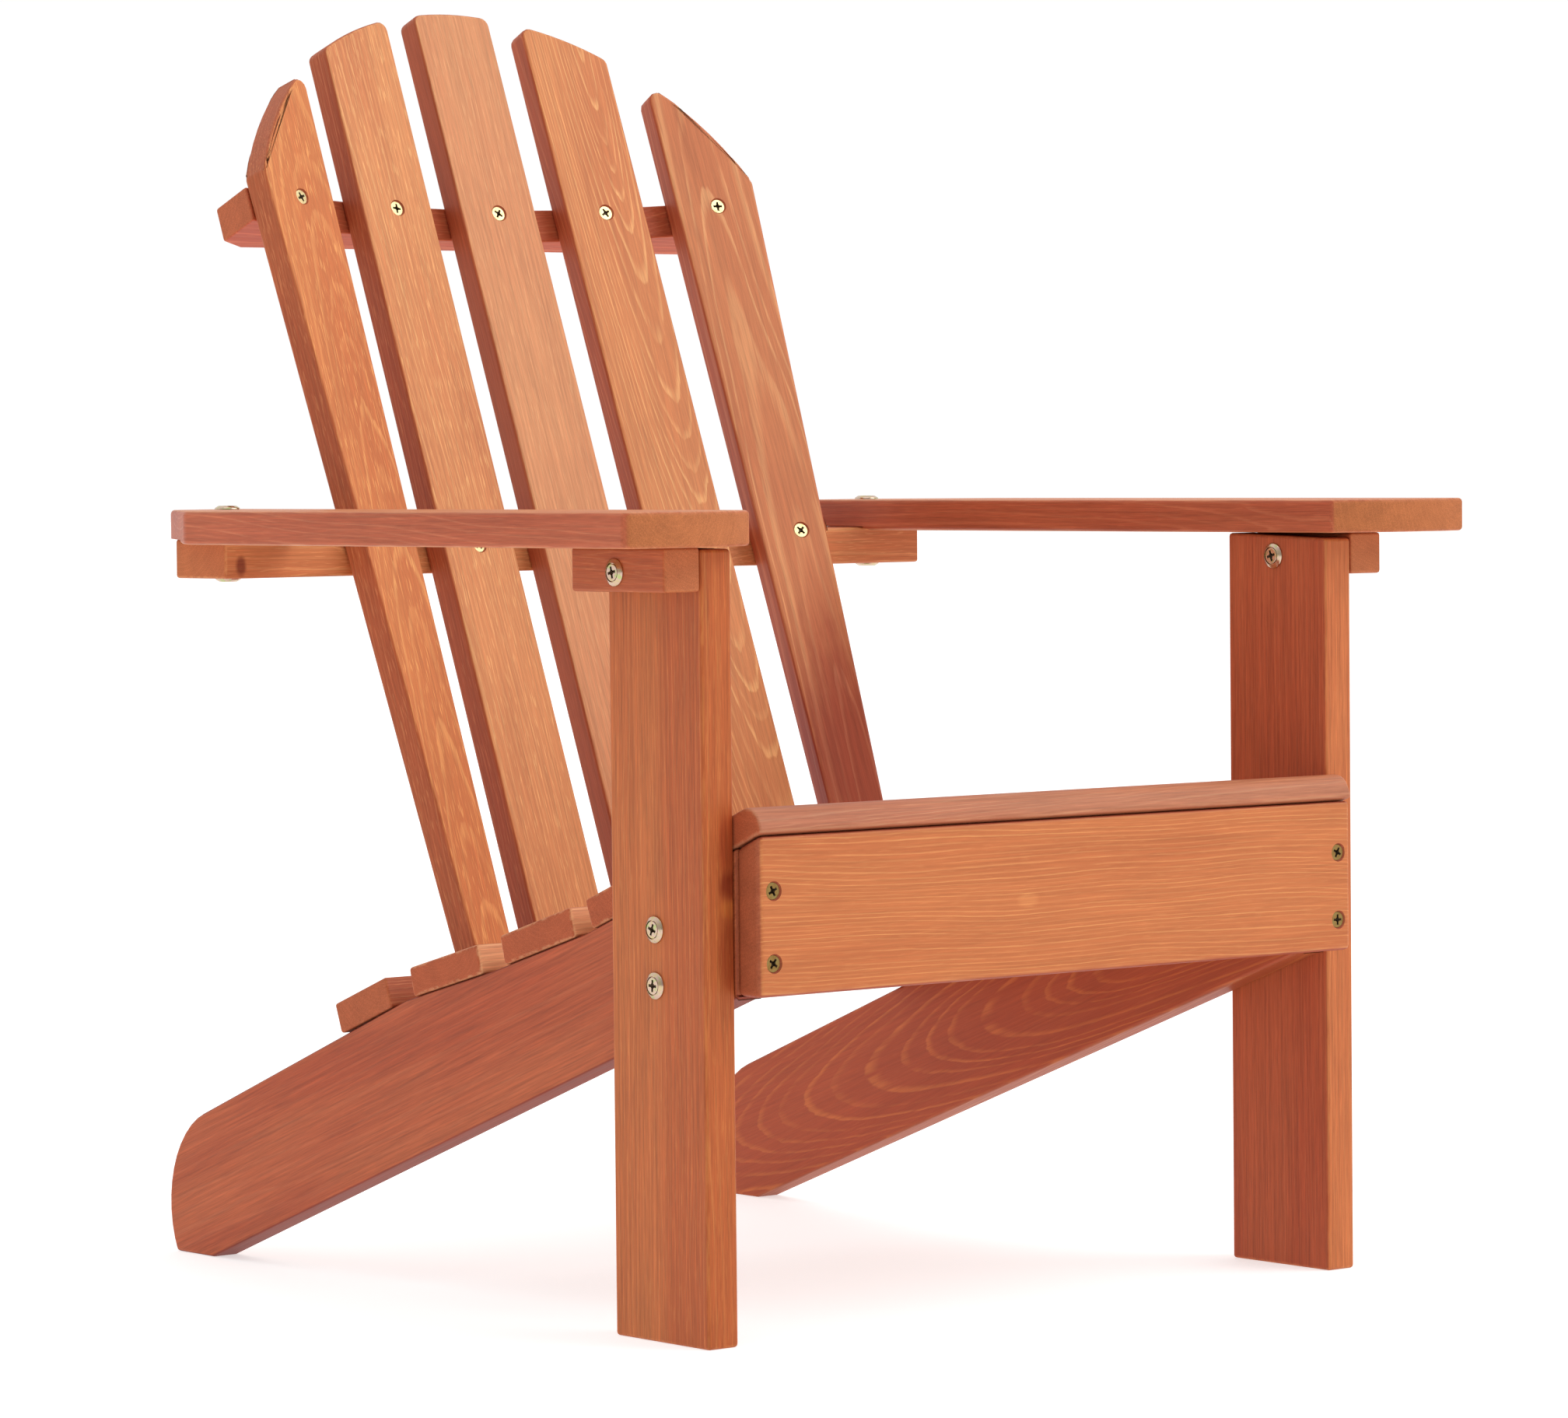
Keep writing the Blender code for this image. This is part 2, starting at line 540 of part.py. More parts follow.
def build_chair():
    clear_scene()
    wood = material("stained_wood", (0.50, 0.17, 0.07), 0.42)
    brass = material("yellow_zinc_screw", (0.78, 0.58, 0.27), 0.30, 1.0)
    steel = material("zinc_bolt", (0.62, 0.58, 0.52), 0.25, 1.0)

    chair = frame_empty("chair_frame", (0, -middle_depth(), 0))
    back = frame_empty("back_frame", (0, BACK_FOOT, 0), (-RECLINE, 0, 0), chair)
    clearance = back_clearance(back)
    meshes = {}

    legs = {side: front_leg(side, chair, wood) for side in SIDES}
    rails = {side: side_rail(side, chair, wood) for side in SIDES}
    arms = {side: armrest(side, chair, wood) for side in SIDES}
    brackets = {side: arm_bracket(side, chair, wood) for side in SIDES}
    front = apron(chair, wood)
    top_rail = top_back_rail(back, wood)
    cross_rail = arm_cross_rail(chair, wood, clearance)
    low_rail, low_rail_screws = lower_back_rail(chair, wood, clearance)

    # Seat slats, numbered from the back, each held by one screw at either end
    spans = [(edge, SEAT_SLAT_WIDTH, False) for edge in SEAT_SLAT_FRONTS] + [(NOSE_FRONT, NOSE_WIDTH, True)]
    for number, (edge, width, nose) in enumerate(spans, start=1):
        board, screw_line, slope = seat_slat(f"seat_slat_{number}", edge, width, chair, wood, nose)
        outward = (0, sin(slope), cos(slope))
        for side, way in SIDES.items():
            point = (way * RAIL_MIDDLE, screw_line.x, screw_line.y)
            screw(f"{side}_seat_screw_{number}", point, outward, SEAT_SCREW_LENGTH, (board, rails[side]),
                  chair, brass, meshes)

    # Back slats, numbered from the sitter's right, each screwed to the three rails
    for number in range(1, 6):
        slat, centre, turn = back_slat(number, back, wood)
        outward = (sin(turn), -cos(turn), 0)
        for (row, (along, length)), rail in zip(SLAT_SCREW_ROWS.items(), (top_rail, cross_rail, low_rail)):
            middle = Vector((centre, -sag(centre), along))
            if row == "low" and abs(number - 3) == 2:
                # The outer slats are narrow at the foot, so their screws move inwards.
                inward = FOOT_SCREW_SHIFT if centre < 0 else -FOOT_SCREW_SHIFT
                middle += Vector((cos(turn), sin(turn), 0)) * inward
            screw(f"slat_screw_{row}_{number}", middle, outward, length, (slat, rail), back, brass, meshes)

    for side, way in SIDES.items():
        out = (way, 0, 0)
        for level, height in APRON_SCREW_HEIGHTS.items():
            point = (way * APRON_SCREW_X, APRON_REAR - APRON_THICK, height)
            screw(f"{side}_apron_screw_{level}", point, (0, -1, 0), APRON_SCREW_LENGTH, (front, rails[side]),
                  chair, brass, meshes)
        point = (way * RAIL_MIDDLE, low_rail_screws.x, low_rail_screws.y)
        up = (0, sin(RAIL_SLOPE), cos(RAIL_SLOPE))
        screw(f"{side}_lower_rail_screw", point, up, SEAT_SCREW_LENGTH, (low_rail, rails[side]),
              chair, brass, meshes)
        point = (way * (LEG_OUTER + GAP + BRACKET_WIDTH / 2), ARM_SCREW_DEPTH, ARM_UNDER - GAP - BRACKET_HEIGHT)
        screw(f"{side}_arm_screw", point, (0, 0, -1), ARM_SCREW_LENGTH, (brackets[side], arms[side]),
              chair, brass, meshes)

        for level, height in LEG_BOLT_HEIGHTS.items():
            grip = LEG_OUTER - RAIL_INNER
            bolt(f"{side}_leg_bolt_{level}", (way * LEG_OUTER, LEG_BOLT_DEPTH, height), out, grip,
                 (legs[side], rails[side]), chair, steel)
        grip = BRACKET_OUTER - LEG_INNER
        bolt(f"{side}_bracket_bolt", (way * BRACKET_OUTER, LEG_BOLT_DEPTH, BRACKET_BOLT_HEIGHT), out, grip,
             (brackets[side], legs[side]), chair, steel)
        grip = ARM_UNDER + ARM_THICK - ARM_RAIL_HEIGHTS[0]
        bolt(f"{side}_arm_bolt", (way * ARM_BOLT_X, ARM_BOLT_DEPTH, ARM_UNDER + ARM_THICK), (0, 0, 1), grip,
             (arms[side], cross_rail), chair, steel)


build_chair()
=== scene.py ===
"""A child's garden chair in orange-stained softwood: eased boards, sunk screws and flanged bolts.

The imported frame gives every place.  The chair faces -Y, Z is up and the sitter's right is -X.
Sizes in capitals are millimetres, and MM turns them into the scene's metres.
"""
from math import pi, radians, tan

import bpy
import numpy as np
from mathutils import Matrix, Vector


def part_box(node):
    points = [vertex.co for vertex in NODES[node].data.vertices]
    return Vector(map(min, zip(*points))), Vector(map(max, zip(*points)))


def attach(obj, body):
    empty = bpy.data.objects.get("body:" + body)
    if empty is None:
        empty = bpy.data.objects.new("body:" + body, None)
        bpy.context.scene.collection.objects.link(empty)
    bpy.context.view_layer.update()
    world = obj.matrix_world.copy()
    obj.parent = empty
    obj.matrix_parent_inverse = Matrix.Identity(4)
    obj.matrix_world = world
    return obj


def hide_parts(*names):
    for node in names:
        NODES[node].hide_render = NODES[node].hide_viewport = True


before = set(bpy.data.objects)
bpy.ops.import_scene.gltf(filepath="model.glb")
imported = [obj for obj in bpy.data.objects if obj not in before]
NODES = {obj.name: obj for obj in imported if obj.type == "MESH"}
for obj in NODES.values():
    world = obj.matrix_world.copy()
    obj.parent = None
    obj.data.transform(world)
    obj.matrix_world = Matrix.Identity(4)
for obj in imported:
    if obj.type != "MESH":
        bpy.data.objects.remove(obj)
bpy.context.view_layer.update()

MM = 0.001
SIDES = ("right", "left")
ACROSS, REAR, UP = Vector((1, 0, 0)), Vector((0, 1, 0)), Vector((0, 0, 1))

# Boards
MERGE = 0.01               # the solids' loose triangles are joined within this distance
NARROW = 0.3               # steps of an outline shorter than this are closed up
SLIVER = 0.25              # a face whose area is less than this times its longest edge is joined
FLAT_ANGLE = radians(0.6)  # faces that differ by less are one sawn face
SHARP_ANGLE = radians(35)  # edges sharper than this are arrises
EASE_STEPS = 3
SAME_NORMAL = 0.9995       # cosine above which two faces look the same way
BORE_REACH = 4.9           # the solids' bores keep within this distance of a fastener's line
DRILL_TRIES = (            # whether the cut is a thorough one, and the bit's spin
    (False, 0.03), (False, 0.1),
    (True, 0.03), (True, 0.1),
)
DRILL_GROWTH = 1.12        # a hole enlarges a board's surface by less than this factor

# Screws, whose heads lie a little below the wood
SCREW_HEAD = 3.95
SCREW_SHANK = 1.9
SCREW_BORE = 4.6
SCREW_SUNK = 0.55
SCREW_CONE = 2.1
SCREW_SIDES = 32
CROSS_REACH = 2.75         # half the cross's span at the head's face
CROSS_WIDTH = 1.25
CROSS_DEPTH = 1.7
CROSS_TAPER = 0.5          # the cross's size at its bottom, as a part of its size on top

# Bolts, with a flange at both ends
BOLT_SHANK = 2.9
BOLT_BORE = 3.15
FLANGE = 6.5
FLANGE_LIFT = 0.05         # the flange stands this far off the wood
BOLT_SIDES = 48


# ---------------------------------------------------------------- hands on Blender

def deselect():
    bpy.ops.object.select_all(action="DESELECT")


def take(piece):
    """Makes one object the only selected and active one."""
    deselect()
    piece.select_set(True)
    bpy.context.view_layer.objects.active = piece


def edit(piece):
    take(piece)
    bpy.ops.object.mode_set(mode="EDIT")


def leave_edit():
    bpy.ops.object.mode_set(mode="OBJECT")


def pick_faces(piece, chosen):
    """Selects the faces for which chosen(face) is true, and nothing else."""
    bpy.ops.mesh.select_mode(type="FACE")
    bpy.ops.mesh.select_all(action="DESELECT")
    leave_edit()
    for face in piece.data.polygons:
        face.select = chosen(face)
    bpy.ops.object.mode_set(mode="EDIT")


def settle(piece):
    """Puts the piece's place and turn into its mesh."""
    take(piece)
    bpy.ops.object.transform_apply(location=True, rotation=True, scale=True)


def apply_modifier(piece, kind, **settings):
    take(piece)
    modifier = piece.modifiers.new(kind.lower(), kind)
    for name, value in settings.items():
        setattr(modifier, name, value)
    bpy.ops.object.modifier_apply(modifier=modifier.name)


def cut_away(piece, cutter, **settings):
    apply_modifier(piece, "BOOLEAN", operation="DIFFERENCE", solver="EXACT", object=cutter,
                   material_mode="TRANSFER", **settings)


def discard(piece):
    bpy.data.objects.remove(piece, do_unlink=True)


def mount(piece, node):
    """The finished piece moves with the chair and stands for its solid."""
    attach(piece, "root")
    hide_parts(node)


# ---------------------------------------------------------------- reading the frame

def solid_points(node):
    mesh = NODES[node].data
    places = np.empty(len(mesh.vertices) * 3)
    mesh.vertices.foreach_get("co", places)
    return np.unique(places.reshape(-1, 3).round(6), axis=0)


class Lie:
    """Where a screw or bolt lies: its outer end, its outward direction and its length."""

    def __init__(self, node):
        points = solid_points(node)
        middle = points.mean(axis=0)
        _, _, turned = np.linalg.svd(points - middle)
        axis = turned[0]
        heights = (points - middle) @ axis
        spread = np.linalg.norm(points - middle - np.outer(heights, axis), axis=1)
        if "bolt" in node:
            outer = axis[2] if "arm_bolt" in node else axis[0] * middle[0]
        else:
            outer = heights[spread > 0.9 * spread.max()].mean()
        if outer < 0:
            axis, heights = -axis, -heights
        self.node = node
        self.out = Vector(axis)
        self.end = Vector(middle + axis * heights.max())
        self.length = float(heights.max() - heights.min())

    def holds(self, point, reach):
        """Whether a point lies within reach of the line from end to end."""
        depth = (self.end - point).dot(self.out)
        off = (point - self.end + self.out * depth).length
        return off < reach and -2 * MM < depth < self.length + 2 * MM

    def matrix(self, spin):
        turn = self.out.to_track_quat("Z", "Y").to_matrix().to_4x4()
        return Matrix.Translation(self.end) @ turn @ Matrix.Rotation(spin, 4, "Z")


SCREWS = {node: Lie(node) for node in sorted(NODES) if "screw" in node}
BOLTS = {node: Lie(node) for node in sorted(NODES) if "bolt" in node}
FASTENERS = {**SCREWS, **BOLTS}


def goes_through(lie, node):
    """Whether a fastener's line enters a board's box."""
    low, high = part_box(node)
    steps = [lie.end - lie.out * lie.length * step / 12 for step in range(1, 12)]
    return any(all(low[i] < point[i] < high[i] for i in range(3)) for point in steps)


# ---------------------------------------------------------------- materials: the node writer

class Wire:
    """An output in a material's nodes.  Arithmetic on wires and numbers adds Math nodes."""

    def __init__(self, tree, output=None):
        self.tree = tree
        self.output = output

    def add(self, kind, values=None, take_output=0, stops=None, **settings):
        """A new node: its settings first, then its ramp's stops, then its inputs."""
        node = self.tree.nodes.new(kind)
        for name, choice in settings.items():
            setattr(node, name, choice)
        for position, colour in stops or []:
            ramp = node.color_ramp.elements
            stop = ramp[0] if position == 0 else ramp[-1] if position == 1 else ramp.new(position)
            stop.color = (*colour, 1)
        for key, value in (values or {}).items():
            if isinstance(value, Wire):
                self.tree.links.new(value.output, node.inputs[key])
            else:
                node.inputs[key].default_value = value
        return Wire(self.tree, node.outputs[take_output])

    def math(self, operation, *values):
        return self.add("ShaderNodeMath", dict(enumerate(values)), operation=operation)

    def vector(self, operation, *values):
        return self.add("ShaderNodeVectorMath", dict(enumerate(values)), operation=operation)

    def __add__(self, other):
        return self.math("ADD", self, other)

    __radd__ = __add__

    def __sub__(self, other):
        return self.math("SUBTRACT", self, other)

    def __rsub__(self, other):
        return self.math("SUBTRACT", other, self)

    def __mul__(self, other):
        return self.math("MULTIPLY", self, other)

    __rmul__ = __mul__

    def __truediv__(self, other):
        return self.math("DIVIDE", self, other)

    def __pow__(self, other):
        return self.math("POWER", self, other)

    def measure(self, operation, other=(0, 0, 0)):
        """One number from a vector: its length, or its dot product with another."""
        return self.add("ShaderNodeVectorMath", {0: self, 1: other}, 1, operation=operation)

    def along(self, direction):
        """How squarely a normal faces along a direction, either way."""
        dot = self.measure("DOT_PRODUCT", tuple(direction))
        return dot.math("ABSOLUTE", dot)

    def part(self, index):
        """One of a vector's three numbers."""
        return self.add("ShaderNodeSeparateXYZ", {0: self}, index)

    def smooth(self, low, high):
        """0 below low, 1 above high and an even curve between them."""
        return self.add("ShaderNodeMapRange", {"Value": self, "From Min": low, "From Max": high},
                        interpolation_type="SMOOTHSTEP")

    def noise(self, size, detail=2.0, roughness=0.5, seed=0.0):
        """Soft noise from 0 to 1 in lumps of about size along each axis."""
        squeezed = self.vector("MULTIPLY", self, tuple(1 / one for one in size))
        moved = self.vector("ADD", squeezed, (seed, seed * 0.7, -seed))
        return self.add("ShaderNodeTexNoise",
                        {"Vector": moved, "Scale": 1.0, "Detail": detail, "Roughness": roughness})

    def noise_along(self, size, seed=0.0):
        """Noise along one number."""
        return self.add("ShaderNodeTexNoise", {"W": self / size + seed, "Scale": 1.0, "Detail": 1.0},
                        noise_dimensions="1D")

    def towards(self, colour, amount):
        """This colour mixed towards another."""
        return self.add("ShaderNodeMix", {0: amount, 6: self, 7: colour}, 2, data_type="RGBA")

    def tinted(self, tint):
        """This colour multiplied by another."""
        return self.add("ShaderNodeMix", {0: 1.0, 6: self, 7: rgba(tint)}, 2, data_type="RGBA",
                        blend_type="MULTIPLY")

    def scaled(self, amount):
        """This colour made lighter or darker."""
        return self.add("ShaderNodeVectorMath", {0: self, "Scale": amount}, operation="SCALE")


def rgba(colour):
    return (*colour, 1.0)


def new_material(name):
    made = bpy.data.materials.new(name)
    made.use_nodes = True
    shader = made.node_tree.nodes["Principled BSDF"]
    return made, shader, Wire(made.node_tree)


def feed(tree, wire, shader, socket):
    tree.links.new(wire.output, shader.inputs[socket])


# ---------------------------------------------------------------- stained wood

RED_SHADE = (0.80, 0.56, 0.55)
PALE_SHADE = (1.42, 2.05, 2.15)


class Board:
    """How one board was sawn from its log, and how it took the stain.

    grain is its length and face the normal of its wide side.  pith is the log's centre, across and
    through the board, in millimetres, and lean is how fast it wanders along the board.  redder gives
    the places across the board between which the colour turns redder.
    """

    def __init__(self, grain, face, pith=(60, 40), lean=(0.0, 0.0), ring=2.6, sway=6.0, pale=0.5,
                 fibre=0.14, fleck=0.3, red=0.45, redder=(900, 901), face_colour=(0.53, 0.155, 0.05),
                 edge_colour=(0.44, 0.10, 0.034), end_colour=(0.42, 0.105, 0.04),
                 line_shade=PALE_SHADE, spots=()):
        self.grain = Vector(grain).normalized()
        self.face = Vector(face).normalized()
        self.pith = pith
        self.lean = lean
        self.ring = ring
        self.sway = sway
        self.pale = pale
        self.fibre = fibre
        self.fleck = fleck
        self.red = red
        self.redder = redder
        self.end_colour = end_colour
        self.face_colour = face_colour
        self.edge_colour = edge_colour
        self.line_shade = line_shade
        self.spots = spots

    def turn(self):
        across = self.face.cross(self.grain)
        return Matrix((across, self.face, self.grain)).transposed().to_euler()


def stained_wood(node, board, seed):
    """Growth rings round a leaning pith, long fibres, sawn ends, and arrises paler for wear and a painted
    highlight.
    """
    made, shader, start = new_material(f"{node}_wood")
    low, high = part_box(node)
    place = start.add("ShaderNodeTexCoord", take_output=3)
    local = start.add("ShaderNodeMapping",
                      {"Vector": place, "Location": (low + high) / 2, "Rotation": board.turn(),
                       "Scale": (MM, MM, MM)}, vector_type="TEXTURE")
    across, through, along = (local.part(index) for index in range(3))

    # Rings
    sway = local.noise((70, 70, 230), 1.0, seed=seed) - 0.5
    swerve = local.noise((45, 45, 120), 1.0, seed=seed + 9) - 0.5
    ragged = local.noise((4, 4, 22), 3.0, 0.6, seed=seed + 3) - 0.5
    from_pith = across - board.pith[0] - along * board.lean[0] + sway * board.sway * 2
    depth = through - board.pith[1] - along * board.lean[1] + swerve * board.sway
    radius = (from_pith * from_pith + depth * depth) ** 0.5 + ragged * 0.8
    rings = radius / board.ring + radius.noise_along(13, seed) * 2.4
    phase = rings.math("FRACT", rings)
    year = start.add("ShaderNodeTexWhiteNoise", {"W": rings.math("FLOOR", rings)},
                     noise_dimensions="1D")
    line = phase.smooth(0.6, 0.88) * phase.smooth(1.0, 0.92)
    broken = local.noise((3, 3, 45), 2.0, 0.6, seed=seed + 6).smooth(0.28, 0.55)
    late = line * (year * 0.65 + 0.35) * broken

    # Fibres and short pale flecks, drawn out along the grain
    fibre = local.noise((0.45, 0.45, 15), 3.0, 0.62, seed=seed + 1) - 0.5
    coarse = local.noise((1.4, 1.4, 70), 2.0, 0.6, seed=seed + 5) - 0.5
    fleck = local.noise((0.8, 0.8, 11), 1.0, seed=seed + 2).smooth(0.58, 0.7)
    cloud = local.noise((34, 34, 210), 2.0, 0.5, seed=seed + 7)
    haze = local.noise((9, 9, 70), 2.0, seed=seed + 8) - 0.5

    # Wide and narrow faces take each board's own colours, some of which hold painted light or shade; the sawn
    # ends are darkest
    facing = start.add("ShaderNodeNewGeometry", take_output=1)
    face_mask = facing.along(board.face).smooth(0.6, 0.95)
    end_mask = facing.along(board.grain).smooth(0.5, 0.9)

    stain_and_shade = start.add("ShaderNodeMix", {0: face_mask, 6: rgba(board.edge_colour),
                                        7: rgba(board.face_colour)}, 2, data_type="RGBA")
    red = stain_and_shade.tinted(RED_SHADE)
    pale = stain_and_shade.tinted(PALE_SHADE)
    colour = stain_and_shade.towards(red, cloud.smooth(0.38, 0.7) * board.red)
    colour = colour.towards(red, across.smooth(*board.redder) * 0.7)
    colour = colour.towards(stain_and_shade.tinted(board.line_shade), late * board.pale)
    colour = colour.towards(pale, fleck * board.fleck)
    colour = colour.scaled(1 + fibre * board.fibre * 4.2 + coarse * board.fibre * 4.0 + haze * 0.22)

    # Sawn ends show the fibres as dots, and the rings only faintly
    dots = local.noise((0.5, 0.5, 6), 2.0, 0.7, seed=seed + 11) - 0.5
    sawn = start.add("ShaderNodeRGB")
    sawn.output.default_value = rgba(board.end_colour)
    colour = colour.towards(sawn.scaled(1 + dots * 1.1 + line * 0.07 + haze * 0.4), end_mask)

    # Paler arrises: partly wear, where the stained surface is rubbed thin, partly a painted highlight
    arris = start.add("ShaderNodeAttribute", take_output=2, attribute_name="arris")
    wear_and_highlight = arris * local.noise((4, 4, 22), 3.0, 0.6, seed=seed + 4).smooth(0.42, 0.62)
    colour = colour.towards(pale, wear_and_highlight * 0.22)

    # Knots, stains and patches, one of them a painted shadow: a place, its half sizes and the tint that it
    # gives
    for spot, size, tint in board.spots:
        offset = local.vector("SUBTRACT", local, spot)
        reach = offset.vector("DIVIDE", offset, size).measure("LENGTH")
        colour = colour.towards(colour.tinted(tint), (reach + ragged * 0.6).smooth(1.25, 0.45))

    roughness = 0.5 + fibre * 0.25 - late * 0.06 + end_mask * 0.2
    relief = fibre * 0.5 + coarse * 0.35 + late * 0.3
    bump = start.add("ShaderNodeBump", {"Strength": 0.35, "Distance": 0.22 * MM, "Height": relief})
    tree = made.node_tree
    feed(tree, colour, shader, "Base Color")
    feed(tree, roughness, shader, "Roughness")
    feed(tree, bump, shader, "Normal")
    shader.inputs["Specular IOR Level"].default_value = 0.22
    return made


# ---------------------------------------------------------------- boards

def join_slivers(board):
    """Joins each face too thin to have a sound normal to its neighbour along its longest edge."""
    bpy.ops.mesh.select_mode(type="EDGE")
    bpy.ops.mesh.select_all(action="DESELECT")
    leave_edit()
    mesh = board.data
    lengths = [(mesh.vertices[edge.vertices[0]].co - mesh.vertices[edge.vertices[1]].co).length
               for edge in mesh.edges]
    for face in mesh.polygons:
        longest = max((mesh.loops[i].edge_index for i in face.loop_indices), key=lengths.__getitem__)
        if face.area < SLIVER * MM * lengths[longest]:
            mesh.edges[longest].select = True
    bpy.ops.object.mode_set(mode="EDIT")
    bpy.ops.mesh.dissolve_edges(use_verts=False)


def close_bores(board, node):
    """Takes the solid's coarse bores out of the copy, to be drilled again round."""
    lies = [lie for lie in FASTENERS.values() if goes_through(lie, node)]
    leave_edit()
    corners = [vertex.co.copy() for vertex in board.data.vertices]
    edit(board)

    def in_bore(face):
        return any(all(lie.holds(corners[i], BORE_REACH * MM) for i in face.vertices) for lie in lies)

    pick_faces(board, in_bore)
    bpy.ops.mesh.delete(type="FACE")
    bpy.ops.mesh.select_mode(type="EDGE")
    bpy.ops.mesh.select_non_manifold(extend=False, use_wire=False, use_boundary=True,
                                     use_multi_face=False, use_non_contiguous=False, use_verts=False)
    bpy.ops.mesh.fill_holes(sides=0)
    join_slivers(board)
    bpy.ops.mesh.select_all(action="SELECT")
    bpy.ops.mesh.remove_doubles(threshold=NARROW * MM)
    bpy.ops.mesh.dissolve_limited(angle_limit=FLAT_ANGLE)
    bpy.ops.mesh.normals_make_consistent(inside=False)
    return lies


def ease(board, width, kept_sharp):
    """Rounds the board's convex arrises, and marks the rounded strips for the paler wear and painted
    highlight.
    """
    bpy.ops.mesh.select_mode(type="EDGE")
    bpy.ops.mesh.select_all(action="DESELECT")
    bpy.ops.mesh.edges_select_sharp(sharpness=SHARP_ANGLE)
    leave_edit()
    mesh = board.data
    sawn_normals = [face.normal.copy() for face in mesh.polygons]
    if kept_sharp is not None:
        for edge in mesh.edges:
            middle = (mesh.vertices[edge.vertices[0]].co + mesh.vertices[edge.vertices[1]].co) / 2
            if kept_sharp(middle / MM):
                edge.select = False
    bpy.ops.object.mode_set(mode="EDIT")
    bpy.ops.mesh.bevel(offset=width * MM, segments=EASE_STEPS, profile=0.5, clamp_overlap=False)
    leave_edit()
    sawn = set()
    for face in mesh.polygons:
        if any(face.normal.dot(normal) > SAME_NORMAL for normal in sawn_normals):
            sawn.update(face.vertices)
    marks = mesh.attributes.new("arris", "FLOAT", "POINT")
    marks.data.foreach_set("value", [float(i not in sawn) for i in range(len(mesh.vertices))])


def is_sound(mesh, undrilled):
    """Whether a drilled board is still closed, and has gained the hole's wall and no stray faces."""
    uses = np.bincount([loop.edge_index for loop in mesh.loops], minlength=len(mesh.edges))
    growth = sum(face.area for face in mesh.polygons) / sum(face.area for face in undrilled.polygons)
    return len(mesh.polygons) > len(undrilled.polygons) and all(uses == 2) and growth < DRILL_GROWTH


def drill(board, lies):
    """Bores every hole.  A cut that spoils the board is made again with the bit turned."""
    for lie in lies:
        undrilled = board.data
        for thorough, spin in DRILL_TRIES:
            board.data = undrilled.copy()
            bit = bolt_bit(lie.length) if lie.node in BOLTS else screw_bit(lie.length)
            bit.matrix_world = lie.matrix(spin)
            settle(bit)
            cut_away(board, bit, use_self=thorough)
            discard(bit)
            if is_sound(board.data, undrilled):
                break


def bolt_bit(length):
    bpy.ops.mesh.primitive_cylinder_add(vertices=SCREW_SIDES, radius=BOLT_BORE * MM, depth=length * 2)
    return bpy.context.active_object


def screw_bit(length):
    """The countersink and pilot bore of a screw, from above its head down to its tip."""
    above = 2.0
    bpy.ops.mesh.primitive_cylinder_add(vertices=SCREW_SIDES, radius=SCREW_BORE * MM, depth=above * MM,
                                        location=(0, 0, (above / 2 - 0.3) * MM))
    bit = bpy.context.active_object
    settle(bit)
    draw_out(bit, -1, [(-SCREW_CONE, SCREW_BORE, SCREW_SHANK + 0.15),
                       (-length / MM + SCREW_CONE - 0.5, 1, 1)])
    return bit


def draw_out(piece, way, steps):
    """Extrudes the top (way 1) or bottom (way -1) face in steps of (rise, old radius, new radius)."""
    edit(piece)
    pick_faces(piece, lambda face: face.normal.z * way > 0.9)
    for rise, old, new in steps:
        bpy.ops.mesh.extrude_region_move(TRANSFORM_OT_translate={"value": (0, 0, rise * MM)})
        bpy.ops.transform.resize(value=(new / old, new / old, 1), center_override=(0, 0, 0))
    leave_edit()


def shade(piece, angle):
    take(piece)
    bpy.ops.object.shade_smooth_by_angle(angle=angle)
    apply_modifier(piece, "WEIGHTED_NORMAL", weight=100, keep_sharp=True)


def make_board(node, board, seed, width=1.8, kept_sharp=None):
    mesh = NODES[node].data.copy()
    mesh.materials.clear()
    piece = bpy.data.objects.new(f"{node}_board", mesh)
    bpy.context.scene.collection.objects.link(piece)
    edit(piece)
    bpy.ops.mesh.select_all(action="SELECT")
    bpy.ops.mesh.remove_doubles(threshold=MERGE * MM)
    lies = close_bores(piece, node)
    ease(piece, width, kept_sharp)
    drill(piece, lies)
    piece.data.materials.clear()
    piece.data.materials.append(stained_wood(node, board, seed))
    shade(piece, radians(40))
    mount(piece, node)
    return piece


# ---------------------------------------------------------------- screws and bolts

def plated_metal(name, colour, blush, tinge, roughness):
    """Bright zinc with a faint rainbow of three tints, a little cloudy."""
    made, shader, start = new_material(name)
    place = start.add("ShaderNodeTexCoord", take_output=3)
    patch = place.noise((2.5 * MM, 2.5 * MM, 2.5 * MM), 2.0)
    haze = place.noise((0.6 * MM, 0.6 * MM, 0.6 * MM), 3.0)
    tint = start.add("ShaderNodeValToRGB", {0: patch.smooth(0.25, 0.75)},
                     stops=[(0, colour), (0.55, blush), (1, tinge)])
    feed(made.node_tree, tint, shader, "Base Color")
    feed(made.node_tree, roughness + (haze - 0.5) * 0.22, shader, "Roughness")
    shader.inputs["Metallic"].default_value = 1.0
    return made


def shaded_recess_metal():
    """Walls of the cross recesses, coloured near black as painted shade."""
    made, shader, start = new_material("shaded_recess_metal")
    place = start.add("ShaderNodeTexCoord", take_output=3)
    shade_mottle = place.noise((0.5 * MM, 0.5 * MM, 0.5 * MM), 2.0)
    tint = start.add("ShaderNodeValToRGB", {0: shade_mottle},
                     stops=[(0, (0.03, 0.018, 0.01)), (1, (0.12, 0.07, 0.035))])
    feed(made.node_tree, tint, shader, "Base Color")
    shader.inputs["Metallic"].default_value = 0.7
    shader.inputs["Roughness"].default_value = 0.5
    return made


